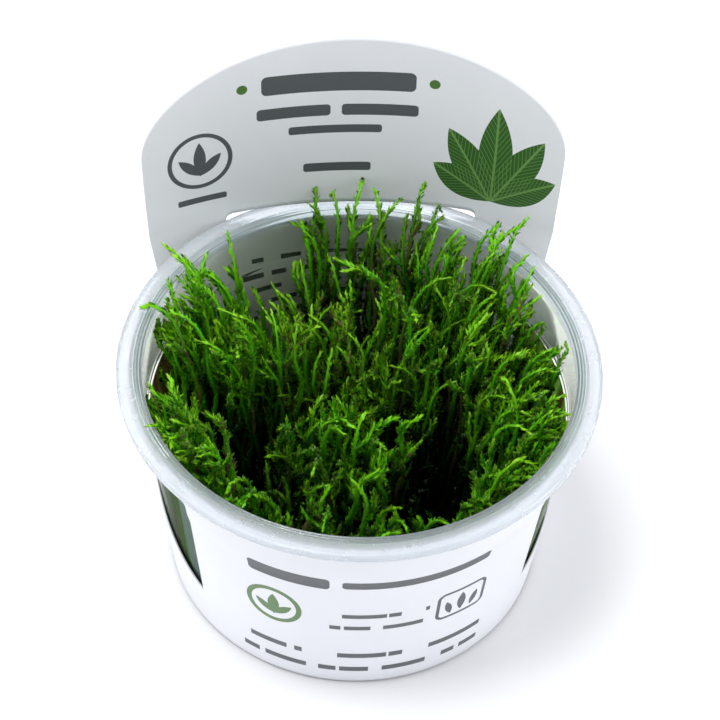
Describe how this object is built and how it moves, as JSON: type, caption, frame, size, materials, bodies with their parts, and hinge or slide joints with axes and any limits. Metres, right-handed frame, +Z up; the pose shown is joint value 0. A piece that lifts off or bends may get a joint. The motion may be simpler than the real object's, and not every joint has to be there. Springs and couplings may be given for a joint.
{
  "type": "cup of tissue culture moss",
  "caption": "Clear cup with a white card sleeve and stand-up header, holding upright green moss tufts on a gel disc.",
  "frame": {"origin": "centre of the underside of the cup's base, on the surface that it stands on", "axes": "+Z up, the front of the label faces -Y, the header card stands on the +Y side"},
  "size_m": [0.095, 0.095, 0.0969],
  "materials": {
    "clear_cup": "clear moulded plastic, polished inside and out",
    "white_card": null,
    "gel": "clear nutrient gel with a wet surface",
    "moss": "small wet translucent leaves, bright green at the tips and dark below"
  },
  "bodies": {
    "root": {"card_sleeve": "white_card", "cup": "clear_cup", "gel_disc": "gel", "moss_tuft_01": "moss", "moss_tuft_02": "moss", "moss_tuft_03": "moss", "moss_tuft_04": "moss", "moss_tuft_05": "moss", "moss_tuft_06": "moss", "moss_tuft_07": "moss", "moss_tuft_08": "moss", "moss_tuft_09": "moss", "moss_tuft_10": "moss", "moss_tuft_11": "moss", "moss_tuft_12": "moss", "moss_tuft_13": "moss", "moss_tuft_14": "moss", "moss_tuft_15": "moss", "moss_tuft_16": "moss", "moss_tuft_17": "moss", "moss_tuft_18": "moss", "moss_tuft_19": "moss", "moss_tuft_20": "moss", "moss_tuft_21": "moss", "moss_tuft_22": "moss", "moss_tuft_23": "moss", "moss_tuft_24": "moss", "moss_tuft_25": "moss", "moss_tuft_26": "moss", "moss_tuft_27": "moss", "moss_tuft_28": "moss", "moss_tuft_29": "moss", "moss_tuft_30": "moss", "moss_tuft_31": "moss", "moss_tuft_32": "moss", "moss_tuft_33": "moss", "moss_tuft_34": "moss", "moss_tuft_35": "moss", "moss_tuft_36": "moss", "moss_tuft_37": "moss", "moss_tuft_38": "moss", "moss_tuft_39": "moss", "moss_tuft_40": "moss", "moss_tuft_41": "moss", "moss_tuft_42": "moss", "moss_tuft_43": "moss", "moss_tuft_44": "moss", "moss_tuft_45": "moss"}
  },
  "joints": []
}
